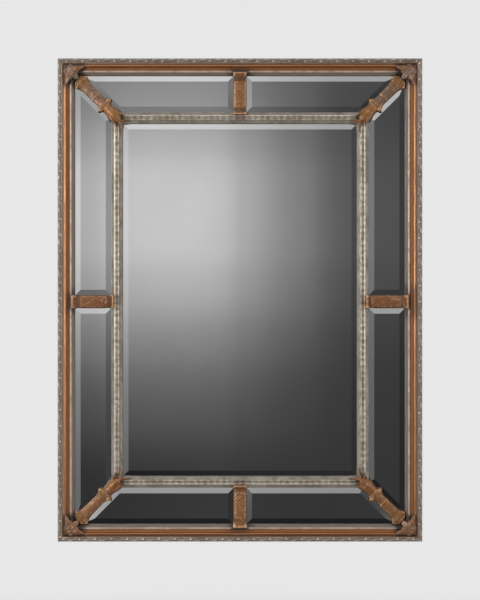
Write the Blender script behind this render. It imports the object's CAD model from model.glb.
import logging
import math
from dataclasses import dataclass, replace
from enum import Enum
from typing import Iterable, Sequence

import bpy
import numpy as np
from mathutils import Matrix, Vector


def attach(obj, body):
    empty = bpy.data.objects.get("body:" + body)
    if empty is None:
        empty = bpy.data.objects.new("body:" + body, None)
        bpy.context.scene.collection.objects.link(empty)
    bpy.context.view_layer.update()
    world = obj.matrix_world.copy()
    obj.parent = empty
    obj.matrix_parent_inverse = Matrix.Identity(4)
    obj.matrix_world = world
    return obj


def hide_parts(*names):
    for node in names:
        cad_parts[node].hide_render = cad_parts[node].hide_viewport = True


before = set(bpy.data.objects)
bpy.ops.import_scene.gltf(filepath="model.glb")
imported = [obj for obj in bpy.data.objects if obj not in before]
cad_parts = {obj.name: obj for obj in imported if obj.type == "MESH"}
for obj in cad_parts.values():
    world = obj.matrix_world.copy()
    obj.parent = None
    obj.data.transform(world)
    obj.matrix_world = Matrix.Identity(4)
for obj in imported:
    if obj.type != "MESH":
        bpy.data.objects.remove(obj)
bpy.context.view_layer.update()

# A wall mirror with a bevelled centre pane, bevelled border panes, carved and gilded rails and cast straps.
# Metres. X runs across, Z up, the front faces -Y. An inset runs inwards from the mirror's outer edge, and a
# height forward from the frame's back plane.

LOG = logging.getLogger("wall_mirror")
BODY = "root"
FULL_TURN = 2 * math.pi
ROPE_PLACES = 14
LEAST_THICKNESS = 0.00005


class Side(Enum):
    """A side of the mirror, with the quarter turns that carry the bottom side to it."""

    BOTTOM = 0
    LEFT = 1
    TOP = 2
    RIGHT = 3

    @property
    def label(self) -> str:
        """The side's word in a piece's name."""
        return self.name.lower()

    @property
    def upright(self) -> bool:
        """True for the left and right sides."""
        return self in (Side.LEFT, Side.RIGHT)


class Corner(Enum):
    """A corner of the mirror, with the quarter turns that carry the bottom left corner to it."""

    BOTTOM_LEFT = 0
    TOP_LEFT = 1
    TOP_RIGHT = 2
    BOTTOM_RIGHT = 3

    @property
    def label(self) -> str:
        """The corner's words in a piece's name."""
        return self.name.lower()


def quarter_turned(across: np.ndarray, up: np.ndarray, turns: int) -> tuple[np.ndarray, np.ndarray]:
    """Turn plan coordinates by quarter turns, each one (across, up) to (up, -across).

    Args:
        across: Distances to the right.
        up: Distances upwards.
        turns: Number of quarter turns.

    Returns:
        The turned distances to the right and upwards.
    """
    for _ in range(turns):
        across, up = up, -across
    return across, up


@dataclass(frozen=True)
class Layout:
    """The sizes that all sub-assemblies share."""

    width: float = 0.940
    height: float = 1.245
    outer_rail: float = 0.0432
    border: float = 0.0956
    inner_rail: float = 0.028
    joint_drop: float = 0.0044

    @property
    def inner_start(self) -> float:
        """Inset of the inner rail's outer edge."""
        return self.outer_rail + self.border

    def joint_place(self, side: Side) -> float:
        """Place along a side of the joint between its two panes, a little low on the upright sides."""
        return {Side.LEFT: self.joint_drop, Side.RIGHT: -self.joint_drop}.get(side, 0.0)

    def length(self, side: Side) -> float:
        """Length of a side along the mirror's outer edge."""
        return self.height if side.upright else self.width

    def at_side(self, side: Side, along: np.ndarray, inset: np.ndarray, height: np.ndarray) -> np.ndarray:
        """Points of the mirror from places on a side.

        Args:
            side: The side.
            along: Places along the side, zero at its middle.
            inset: Insets from the outer edge.
            height: Heights forward from the back plane.

        Returns:
            An array of points with a last axis of three.
        """
        reach = (self.width if side.upright else self.height) / 2
        x, z = quarter_turned(along, inset - reach, side.value)
        return np.stack(np.broadcast_arrays(x, -height, z), axis=-1)

    def at_corner(self, corner: Corner, points: np.ndarray) -> np.ndarray:
        """Carry points from the corner frame to a corner of the mirror.

        Args:
            corner: The corner.
            points: Rows of across, up and height, measured inwards from the outer corner.

        Returns:
            An array of points with a last axis of three.
        """
        x, z = quarter_turned(points[..., 0], points[..., 1], corner.value)
        x_sign = -1 if corner in (Corner.BOTTOM_LEFT, Corner.TOP_LEFT) else 1
        z_sign = -1 if corner in (Corner.BOTTOM_LEFT, Corner.BOTTOM_RIGHT) else 1
        x = x + x_sign * self.width / 2
        z = z + z_sign * self.height / 2
        return np.stack([x, -points[..., 2], z], axis=-1)


@dataclass
class Shell:
    """A closed mesh in the making.

    Points are rows of three. Quads and triangles are rows of point numbers. Relief is 0 in the deepest
    hollow and 1 on the highest crest at each point, and tone picks between a finish's two colours.
    """

    points: np.ndarray
    quads: np.ndarray
    triangles: np.ndarray
    relief: np.ndarray
    tone: np.ndarray

    def outward(self) -> "Shell":
        """Turn all faces over if the signed volume, a sum of tetrahedra to the origin, is negative."""
        halves = np.concatenate([self.quads[:, [0, 1, 2]], self.quads[:, [0, 2, 3]], self.triangles])
        a, b, c = (self.points[halves[:, column]] for column in range(3))
        if np.einsum("ij,ij->", a, np.cross(b, c)) < 0:
            self.quads = self.quads[:, ::-1]
            self.triangles = self.triangles[:, ::-1]
        return self

    def moved(self, points: np.ndarray) -> "Shell":
        """The same shell with its points elsewhere, its faces pointing outwards."""
        return Shell(points, self.quads, self.triangles, self.relief, self.tone).outward()


def swept_shell(rings: np.ndarray, relief: np.ndarray, tone: np.ndarray) -> Shell:
    """Skin a closed ring carried through stations, and close each end with a fan about its mean point.

    Args:
        rings: Points, stations by ring places by three.
        relief: Relief, stations by ring places.
        tone: Tone, stations by ring places.

    Returns:
        The closed shell. Its point i * ring + j is place j of station i.
    """
    stations, count = rings.shape[:2]
    number = np.arange(stations * count).reshape(stations, count)
    beside = np.roll(number, -1, axis=1)
    quads = np.stack([number[:-1], beside[:-1], beside[1:], number[1:]], axis=-1).reshape(-1, 4)
    hubs = np.array([stations * count, stations * count + 1])
    first = np.stack([np.full(count, hubs[0]), beside[0], number[0]], axis=-1)
    last = np.stack([np.full(count, hubs[1]), number[-1], beside[-1]], axis=-1)
    points = np.concatenate([rings.reshape(-1, 3), rings[[0, -1]].mean(axis=1)])
    relief = np.concatenate([relief.ravel(), relief[[0, -1]].mean(axis=1)])
    tone = np.concatenate([tone.ravel(), tone[[0, -1]].mean(axis=1)])
    return Shell(points, quads, np.concatenate([first, last]), relief, tone)


def gathered(shells: Sequence[Shell]) -> Shell:
    """One shell holding several, their point numbers shifted to follow each other."""
    starts = np.cumsum([0] + [len(shell.points) for shell in shells[:-1]])
    return Shell(
        np.concatenate([shell.points for shell in shells]),
        np.concatenate([shell.quads + start for shell, start in zip(shells, starts)]),
        np.concatenate([shell.triangles + start for shell, start in zip(shells, starts)]),
        np.concatenate([shell.relief for shell in shells]),
        np.concatenate([shell.tone for shell in shells]),
    )


def piece_from(shell: Shell, name: str, crease: float = math.radians(50)) -> bpy.types.Object:
    """Make a smooth-shaded object at the origin from a shell.

    Args:
        shell: The closed mesh.
        name: The object's name.
        crease: Angle past which an edge stays sharp.

    Returns:
        The new object, linked to the scene.
    """
    mesh = bpy.data.meshes.new(name)
    corners = np.concatenate([shell.quads.ravel(), shell.triangles.ravel()]).astype(np.int32)
    sizes = np.concatenate([np.full(len(shell.quads), 4), np.full(len(shell.triangles), 3)]).astype(np.int32)
    mesh.vertices.add(len(shell.points))
    mesh.vertices.foreach_set("co", shell.points.astype(np.float32).ravel())
    mesh.loops.add(len(corners))
    mesh.loops.foreach_set("vertex_index", corners)
    mesh.polygons.add(len(sizes))
    mesh.polygons.foreach_set("loop_start", np.concatenate([[0], np.cumsum(sizes)[:-1]]).astype(np.int32))
    mesh.polygons.foreach_set("loop_total", sizes)
    for label, values in (("relief", shell.relief), ("tone", shell.tone)):
        layer = mesh.attributes.new(label, "FLOAT", "POINT")
        layer.data.foreach_set("value", values.astype(np.float32))
    mesh.update(calc_edges=True)
    mesh.validate()
    mesh.polygons.foreach_set("use_smooth", np.ones(len(mesh.polygons), bool))
    mesh.set_sharp_from_angle(angle=crease)
    piece = bpy.data.objects.new(name, mesh)
    bpy.context.scene.collection.objects.link(piece)
    return piece


def installed(piece: bpy.types.Object, node: str, finish: bpy.types.Material) -> bpy.types.Object:
    """Give a new piece its finish, let it ride with the frame and let it stand for a CAD node."""
    piece.data.materials.append(finish)
    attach(piece, BODY)
    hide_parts(node)
    LOG.info("%s: %d faces for %s", piece.name, len(piece.data.polygons), node)
    return piece


def dressed(node: str, finish: bpy.types.Material) -> None:
    """Give a CAD node its finish in place of the one it came with."""
    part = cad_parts[node]
    part.data.materials.clear()
    part.data.materials.append(finish)
    LOG.info("%s keeps its CAD shape", node)


def dome(share: np.ndarray) -> np.ndarray:
    """A half circle's height: the root of 1 - share squared, and zero outside."""
    return np.sqrt(np.clip(1 - share**2, 0, 1))


def ridge(value: np.ndarray, middle: float, spread: float) -> np.ndarray:
    """A soft ridge about a middle value: e to the minus ((value - middle) / spread) squared."""
    return np.exp(-(((value - middle) / spread) ** 2))


def smooth_step(low: float, high: float, value: np.ndarray) -> np.ndarray:
    """0 below low, 1 above high, and 3t^2 - 2t^3 between them."""
    share = np.clip((value - low) / (high - low), 0, 1)
    return share * share * (3 - 2 * share)


def plateau(places: Sequence[float], value: np.ndarray) -> np.ndarray:
    """1 between the second and third of four places, eased to 0 at the first and the fourth."""
    first, second, third, fourth = places
    return smooth_step(first, second, value) * smooth_step(fourth, third, value)


def wave_stem(cycle: np.ndarray, place: np.ndarray, sway: float, pitch: float, radius: float) -> np.ndarray:
    """A round stem along a cosine: a dome of the distance to the wave, taken square to its slope.

    Args:
        cycle: Place along the strip, in pitches.
        place: Place across the strip, in metres from its middle.
        sway: How far the wave reaches to each side.
        pitch: Length of one wave.
        radius: Half width of the stem.

    Returns:
        Height as a share of the stem's own.
    """
    centre = sway * np.cos(FULL_TURN * cycle)
    slope = -sway * FULL_TURN / pitch * np.sin(FULL_TURN * cycle)
    return dome((place - centre) / np.sqrt(1 + slope**2) / radius)


def oval_leaf(
    run: np.ndarray, place: np.ndarray, long_half: float, short_half: float, lean: float
) -> np.ndarray:
    """A leaf as a leaning ellipse: a dome with a groove along its middle and shallow side veins.

    Args:
        run: Distance along the strip from the leaf's centre.
        place: Distance across it.
        long_half: Half length.
        short_half: Half width.
        lean: Angle of its long axis to the strip.

    Returns:
        Height as a share of the leaf's own.
    """
    along = run * math.cos(lean) + place * math.sin(lean)
    across = place * math.cos(lean) - run * math.sin(lean)
    share = np.hypot(along / long_half, across / short_half)
    rib = 0.3 * ridge(across, 0.0, 0.16 * short_half) * smooth_step(1.0, 0.6, share)
    vein = 0.09 * np.cos(FULL_TURN * 3 * (along / long_half + 0.5 * np.abs(across) / short_half))
    return dome(share) * (1 - rib + vein * smooth_step(1.0, 0.5, share))


def from_nearest(cycle: np.ndarray, phase: float, pitch: float) -> np.ndarray:
    """Signed distance along a strip from the nearest place of a given phase."""
    offset = cycle - phase
    return (offset - np.round(offset)) * pitch


@dataclass(frozen=True)
class StripProfile:
    """A carved strip's section as a closed ring of places, with the carving's pull at each place.

    Inset and height give the section. Normals point out of it. Across is the distance over the carved face
    from its middle, positive on the inner side. Pull is 1 where the carving has its full depth and 0 where
    the section stays plain, and lift is added to the relief there.
    """

    inset: np.ndarray
    height: np.ndarray
    normal_inset: np.ndarray
    normal_height: np.ndarray
    across: np.ndarray
    pull: np.ndarray
    lift: np.ndarray


@dataclass
class CarvedStrip:
    """Four mitred carved strips, each one surface of two parameters: run along the side, place in the ring.

    A point of the strip is its section's point pushed along its normal by the carving, and its run is cut
    off at the mitres by its own inset, so that neighbouring strips meet face to face.
    """

    layout: Layout
    finish: bpy.types.Material
    prefix: str
    slot: str
    step: float
    low: float
    high: float

    def profile(self) -> StripProfile:
        """The strip's section."""
        raise NotImplementedError

    def carving(self, along: np.ndarray, across: np.ndarray) -> np.ndarray:
        """Height of the carving over the section, in metres."""
        raise NotImplementedError

    def shell(self, side: Side) -> Shell:
        """The strip of one side, run spread evenly between its mitres."""
        section = self.profile()
        length = self.layout.length(side)
        stations = int(round(length / self.step)) + 1
        spread = np.linspace(-0.5, 0.5, stations)[:, None]
        along = spread * (length - 2 * section.inset)
        depth = self.carving(along, np.broadcast_to(section.across, along.shape)) * section.pull
        inset = section.inset + section.normal_inset * depth
        height = section.height + section.normal_height * depth
        points = self.layout.at_side(side, spread * (length - 2 * inset), inset, height)
        relief = np.clip((depth - self.low) / (self.high - self.low) + section.lift, 0, 1)
        return swept_shell(points, relief, np.broadcast_to(section.pull, relief.shape)).outward()

    def build(self) -> None:
        """Make the strip of each side and set it in place of its CAD node."""
        for side in Side:
            piece = piece_from(self.shell(side), f"carved_{self.prefix}_{side.label}")
            installed(piece, f"{self.prefix}_{side.label}", self.finish)


def ring_normals(inset: np.ndarray, height: np.ndarray) -> tuple[np.ndarray, np.ndarray]:
    """Outward normals of a closed ring that runs anticlockwise, from its chords on both sides."""
    run = np.roll(inset, -1) - np.roll(inset, 1)
    rise = np.roll(height, -1) - np.roll(height, 1)
    size = np.hypot(run, rise)
    return rise / size, -run / size


@dataclass(frozen=True)
class Stroke:
    """One tapering ridge of a running pattern, from a start phase to an end phase of its pitch."""

    start: float
    end: float
    first: float
    last: float
    half_width: float
    rise: float
    bow: float = 0.0
    fullness: float = 0.7
    least_half: float = 0.00001

    def height(self, cycle: np.ndarray, across: np.ndarray) -> np.ndarray:
        """A dome about a bowed line, its half width following a sine of the share along it.

        Args:
            cycle: Place along the strip, in pitches.
            across: Place across the strip, in metres.

        Returns:
            Height as a share of the carving's depth.
        """
        share = np.mod(cycle - self.start, 1.0) / (self.end - self.start)
        swell = np.sin(math.pi * np.clip(share, 0, 1))
        middle = self.first + (self.last - self.first) * share + self.bow * swell
        half = np.maximum(self.half_width * swell**self.fullness, self.least_half)
        return self.rise * dome((across - middle) / half) * (share <= 1)


@dataclass
class LeafEdge(CarvedStrip):
    """The outer edge's carving: slanting leaves in a running pattern, a round bead at each leaf's end."""

    width: float = 0.0125
    seat: float = 0.020
    overhang: float = 0.0015
    round_centre: float = 0.0283
    round_middle: float = 0.0056
    round_radius: float = 0.0046
    round_rise: float = 0.0056
    rim_radius: float = 0.0013
    rim_height: float = 0.0290
    rim_lift: float = 0.62
    rim_sink: float = 0.25
    rim_sweep: float = math.radians(153)
    rim_places: int = 7
    edge_gap: float = 0.0002
    sweep: float = math.radians(203)
    places: int = 33
    fade_angle: float = 0.35
    back_share: float = 0.45
    back_pull: float = 0.2
    pitch: float = 0.0409
    phase: float = 0.10
    bead_across: float = 0.0034
    bead_long: float = 0.0034
    bead_wide: float = 0.0036
    ground: float = 0.24
    ripple: float = 0.08
    ripples: int = 7
    ripple_slant: float = 0.0008
    vein: float = 0.10
    veins: int = 8
    vein_slant: float = 0.0007
    vein_shares: tuple[float, float] = (0.3, 0.6)
    mean_level: float = 0.35
    depth: float = 0.0016
    strokes: tuple[Stroke, ...] = (
        Stroke(start=0.22, end=0.68, first=-0.0032, last=0.0014, half_width=0.0030, rise=0.70, bow=-0.0003),
        Stroke(start=0.52, end=1.02, first=-0.0046, last=-0.0030, half_width=0.0020, rise=0.54, bow=-0.0003),
        Stroke(start=0.00, end=0.40, first=-0.0030, last=-0.0050, half_width=0.0019, rise=0.50),
        Stroke(start=0.08, end=0.46, first=0.0046, last=0.0034, half_width=0.0016, rise=0.54, bow=0.0003),
        Stroke(start=0.56, end=0.92, first=0.0036, last=0.0050, half_width=0.0017, rise=0.60),
        Stroke(start=0.70, end=0.96, first=0.0012, last=-0.0002, half_width=0.0012, rise=0.46),
    )

    def profile(self) -> StripProfile:
        """A small bead along the inner side, a half round beside it, and straight sides to a flat seat."""
        start = -(self.sweep - math.pi) / 3
        angle = np.linspace(start, start + self.sweep, self.places)
        arc_inset = self.round_middle + self.round_radius * np.cos(angle)
        arc_height = self.round_centre + self.round_rise * np.sin(angle)
        rim_angle = np.linspace(0, self.rim_sweep, self.rim_places)
        rim_middle = self.width - self.edge_gap - self.rim_radius
        rim_inset = rim_middle + self.rim_radius * np.cos(rim_angle)
        rim_height = self.rim_height + self.rim_radius * np.sin(rim_angle)
        back_side = np.array([self.back_share, 0.0]) * (arc_height[-1] - self.seat) + self.seat
        outer = np.array([arc_inset[-1] + self.edge_gap, self.overhang])
        inset = np.concatenate([rim_inset[:1], rim_inset, arc_inset, outer])
        height = np.concatenate([[self.seat], rim_height, arc_height, back_side])
        normal_inset, normal_height = ring_normals(inset, height)
        lead = self.rim_places + 1
        across = np.concatenate([np.full(lead, angle[0]), angle, np.full(2, angle[-1])])
        arc_pull = smooth_step(0, self.fade_angle, angle - start)
        arc_pull = arc_pull * smooth_step(0, self.fade_angle, start + self.sweep - angle)
        pull = np.concatenate([np.zeros(lead), arc_pull, [self.back_pull, 0]])
        lift = np.zeros(len(inset))
        lift[1:lead] = self.rim_lift * np.sin(rim_angle) - self.rim_sink
        over_face = (math.pi / 2 - across) * self.round_radius
        return StripProfile(inset, height, normal_inset, normal_height, over_face, pull, lift)

    def carving(self, along: np.ndarray, across: np.ndarray) -> np.ndarray:
        """The highest of the strokes and of the bead, a dome of an oval, over a sunken ground."""
        cycle = along / self.pitch + self.phase
        run = from_nearest(cycle, 0.0, self.pitch)
        bead = dome(np.hypot(run / self.bead_long, (across - self.bead_across) / self.bead_wide))
        ridges = [stroke.height(cycle, across) for stroke in self.strokes]
        ripples = np.cos(FULL_TURN * self.ripples * cycle + across / self.ripple_slant)
        veins = np.cos(FULL_TURN * self.veins * cycle - np.abs(across) / self.vein_slant)
        leaves = np.maximum.reduce([*ridges, self.ground + self.ripple * ripples])
        leaves = leaves + self.vein * veins * smooth_step(*self.vein_shares, leaves)
        return (np.maximum(bead, leaves) - self.mean_level) * self.depth


@dataclass
class LeafBand(CarvedStrip):
    """The inner rail's carving: long beads and reels along both edges, a running scroll between them."""

    start: float = 0.1464
    width: float = 0.0128
    seat: float = 0.020
    bead_base: float = 0.0224
    bead_radius: float = 0.0019
    field_height: float = 0.0219
    bead_places: int = 9
    field_places: int = 15
    bead_pitch: float = 0.0164
    bead_share: float = 0.46
    reel_share: float = 0.45
    reel_half_share: float = 0.05
    reel_rise: float = 0.8
    waist: float = 0.3
    waist_depth_share: float = 0.30
    pitch: float = 0.0328
    sway: float = 0.0013
    stem_radius: float = 0.0008
    stem_rise: float = 0.8
    leaf_half_length: float = 0.0056
    leaf_half_width: float = 0.0014
    leaf_offset: float = 0.0010
    leaf_lean: float = math.radians(16)
    bud_radius: float = 0.0008
    bud_stretch: float = 1.3
    bud_offset: float = 1.7
    bud_rise: float = 0.75
    mean_level: float = 0.45
    field_depth: float = 0.0012
    field_gap: float = 0.0001
    bead_rise: float = 0.0005
    inner_drop: float = 0.0002

    def profile(self) -> StripProfile:
        """A half round bead at each edge and a flat field between them, on a flat seat."""
        middle = self.start + self.width / 2
        bead_offset = self.width / 2 - self.bead_radius
        field_half = self.width / 2 - 2 * self.bead_radius
        angle = np.linspace(0, math.pi, self.bead_places)
        far_inset = middle + bead_offset + self.bead_radius * np.cos(angle)
        near_inset = middle - bead_offset + self.bead_radius * np.cos(angle)
        bead_height = self.bead_base + self.bead_radius * np.sin(angle)
        field_inset = middle + np.linspace(field_half, -field_half, self.field_places)
        field_height = np.full(self.field_places, self.field_height)
        inset = np.concatenate([[far_inset[0]], far_inset, field_inset, near_inset, [near_inset[-1]]])
        height = np.concatenate([[self.seat], bead_height, field_height, bead_height, [self.seat]])
        out = np.concatenate([[1], np.cos(angle), np.zeros(self.field_places), np.cos(angle), [-1]])
        up = np.concatenate([[0], np.sin(angle), np.ones(self.field_places), np.sin(angle), [0]])
        pull = np.concatenate([[0], np.ones(len(inset) - 2), [0]])
        return StripProfile(inset, height, out, up, inset - middle, pull, np.zeros(len(inset)))

    def carving(self, along: np.ndarray, across: np.ndarray) -> np.ndarray:
        """Beads and reels past the field's half width, and the scroll within it.

        A bead is a long dome of the run within its pitch. Two reels, narrow domes, fill the gap between
        beads. The scroll is a waving stem with a leaf in each bend and a bud beyond it.
        """
        field_half = self.width / 2 - 2 * self.bead_radius
        run = from_nearest(along / self.bead_pitch, 0, self.bead_pitch)
        bead = dome(run / (self.bead_share * self.bead_pitch))
        from_reel = np.abs(run) - self.reel_share * self.bead_pitch
        reel = self.reel_rise * dome(from_reel / (self.reel_half_share * self.bead_pitch))
        fullness = np.maximum(self.waist + (1 - self.waist) * bead, reel)
        edge = self.bead_rise - self.waist_depth_share * self.bead_radius * (1 - fullness)
        edge = edge - self.inner_drop * (across > 0)
        cycle = along / self.pitch
        height = self.stem_rise * wave_stem(cycle, across, self.sway, self.pitch, self.stem_radius)
        for phase, sign in ((0.0, -1), (0.5, 1)):
            distance = from_nearest(cycle, phase, self.pitch)
            leaf = oval_leaf(
                distance, across - sign * self.leaf_offset, self.leaf_half_length, self.leaf_half_width,
                sign * self.leaf_lean)
            from_bud = across + sign * self.bud_offset * self.leaf_offset
            bud = dome(np.hypot(distance / self.bud_stretch, from_bud) / self.bud_radius)
            height = np.maximum.reduce([height, leaf, self.bud_rise * bud])
        scroll = (height - self.mean_level) * self.field_depth
        return np.where(np.abs(across) < field_half + self.field_gap, scroll, edge)


def plan_curve(
    root: Sequence[float], bend: Sequence[float], tip: Sequence[float], share: np.ndarray
) -> np.ndarray:
    """A curve from root to tip drawn towards bend: (1-s)^2 root + 2s(1-s) bend + s^2 tip."""
    share = share[:, None]
    root_part = (1 - share) ** 2 * np.array(root)
    bend_part = 2 * share * (1 - share) * np.array(bend)
    return root_part + bend_part + share**2 * np.array(tip)


@dataclass(frozen=True)
class Blade:
    """A cast leaf in the corner frame: rows of across, up and height.

    Its middle line is a curve from root to tip drawn towards bend. Its half width follows a sine of the
    share along it, sharpened towards the tip, with notches between lobes. Its face is crowned across, with
    a groove along the middle, slanting veins and a raised rim.
    """

    root: tuple[float, float, float]
    bend: tuple[float, float, float]
    tip: tuple[float, float, float]
    half_width: float
    crown: float
    fullness: float = 0.75
    root_share: float = 0.5
    lobes: int = 3
    notch: float = 0.16
    groove: float = 0.35
    rim: float = 0.25
    veins: float = 0.12
    thickness: float = 0.0022
    tone: float = 0.0
    rows: int = 40
    columns: int = 17
    section_power: float = 2.2
    groove_share: float = 0.14
    rim_place: float = 0.88
    rim_share: float = 0.1
    vein_slant: float = 0.8
    vein_gain: float = 2.5
    fade_gain: float = 1.15
    end_share: float = 0.999
    least_half: float = 0.0001
    relief_base: float = 0.24
    relief_gain: float = 0.42
    under_relief: float = 0.1

    def shell(self) -> Shell:
        """The leaf as a closed shell of two parameters: share along it and place across it."""
        share = np.linspace(0, 1, self.rows)
        middle = plan_curve(self.root, self.bend, self.tip, share)
        heading = np.gradient(middle[:, :2], axis=0)
        heading /= np.linalg.norm(heading, axis=1, keepdims=True)
        sideways = np.stack([-heading[:, 1], heading[:, 0], np.zeros(self.rows)], axis=-1)
        body = np.sin(math.pi * (self.root_share + (1 - self.root_share) * share)) ** self.fullness
        body = np.where(share < self.end_share, body, 0)
        saw = 1 - self.notch * (1 - np.abs(np.sin(math.pi * (self.lobes * share + 0.5)))) ** 2
        half = np.maximum(self.half_width * body * saw, self.least_half)
        place = np.linspace(-1, 1, self.columns)
        face = (
            1 - np.abs(place) ** self.section_power
            - self.groove * ridge(place, 0.0, self.groove_share)
            + self.rim * ridge(np.abs(place), self.rim_place, self.rim_share)
        )
        turns = self.lobes * share[:, None] - self.vein_slant * np.abs(place)
        vein = self.veins * np.cos(FULL_TURN * turns)
        vein = vein * np.abs(place) * (1 - place**2) * self.vein_gain
        fade = (half / self.half_width)[:, None]
        rise = self.crown * (face * np.minimum(fade * self.fade_gain, 1) + vein * fade)
        top = middle[:, None, :] + sideways[:, None, :] * (half[:, None] * place)[..., None]
        top[..., 2] += rise
        under = top[:, -2:0:-1].copy()
        under[..., 2] = middle[:, None, 2] - self.thickness
        relief = np.clip(self.relief_base + self.relief_gain * (face + vein), 0, 1)
        rings = np.concatenate([top, under], axis=1)
        low = np.full((self.rows, self.columns - 2), self.under_relief)
        tone = np.full(rings.shape[:2], self.tone)
        return swept_shell(rings, np.concatenate([relief, low], axis=1), tone).outward()


def mirrored_blade(blade: Blade) -> Blade:
    """The same leaf on the other side of the corner's diagonal, across and up exchanged."""
    root, bend, tip = ((up, across, height) for across, up, height in (blade.root, blade.bend, blade.tip))
    return replace(blade, root=root, bend=bend, tip=tip)


def rope(
    middle: np.ndarray, thick: np.ndarray, flat: float = 1.0, tone: float = 0.0, shine: float = 1.0
) -> Shell:
    """A round bar along a path in the corner frame, its rings upright and square to the path's heading.

    Args:
        middle: Rows of across, up and height along the path.
        thick: Half thickness at each row.
        flat: Upward half thickness as a share of the sideways one.
        tone: Tone of its points.
        shine: Relief of its crest.

    Returns:
        The closed bar.
    """
    heading = np.gradient(middle[:, :2], axis=0)
    heading /= np.linalg.norm(heading, axis=1, keepdims=True)
    sideways = np.stack([-heading[:, 1], heading[:, 0], np.zeros(len(middle))], axis=-1)
    around = np.linspace(0, FULL_TURN, ROPE_PLACES, endpoint=False)
    upwards = np.array([0.0, 0.0, flat])
    spokes = np.cos(around)[None, :, None] * sideways[:, None, :] + np.sin(around)[None, :, None] * upwards
    rings = middle[:, None, :] + np.maximum(thick, LEAST_THICKNESS)[:, None, None] * spokes
    relief = np.broadcast_to(shine * (0.5 + 0.5 * np.sin(around)), rings.shape[:2])
    return swept_shell(rings, relief, np.full(rings.shape[:2], tone)).outward()


@dataclass(frozen=True)
class StrapRun:
    """A strap as a surface of two parameters: distance along its middle and place across it.

    The half width, side height and crown height follow smooth lines through a few stations, and a carving
    is added between the edge beads.
    """

    distance: np.ndarray
    half: np.ndarray
    under: np.ndarray
    side: np.ndarray
    crown: np.ndarray
    tone: np.ndarray
    columns: int = 41
    relief_depth: float = 0.0022

    def grids(self, carving: np.ndarray) -> tuple[np.ndarray, np.ndarray, np.ndarray, np.ndarray]:
        """Places across, heights, relief and tone of the closed rings.

        Args:
            carving: Height added on the face, stations by columns.

        Returns:
            Across, height, relief and tone, each stations by ring places.
        """
        place = np.linspace(-1, 1, self.columns)
        across = self.half[:, None] * place
        rise = (self.crown - self.side)[:, None] * dome(place)
        height = self.side[:, None] + rise + carving
        across = np.concatenate([across, across[:, -1:], across[:, :1]], axis=1)
        under = self.under[:, None]
        height = np.concatenate([height, under, under], axis=1)
        flat = np.zeros((len(self.distance), 2))
        relief = np.concatenate([np.clip(0.5 + carving / self.relief_depth, 0, 1), flat], axis=1)
        tone = np.concatenate([np.broadcast_to(self.tone[:, None], carving.shape), flat], axis=1)
        return across, height, relief, tone


def through(stations: Sequence[tuple[float, float]], distance: np.ndarray) -> np.ndarray:
    """Values along a run, eased between hand-set stations of place and value."""
    places, values = np.array(stations).T
    index = np.clip(np.searchsorted(places, distance) - 1, 0, len(places) - 2)
    share = np.clip((distance - places[index]) / (places[index + 1] - places[index]), 0, 1)
    share = share * share * (3 - 2 * share)
    return values[index] + (values[index + 1] - values[index]) * share


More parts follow.
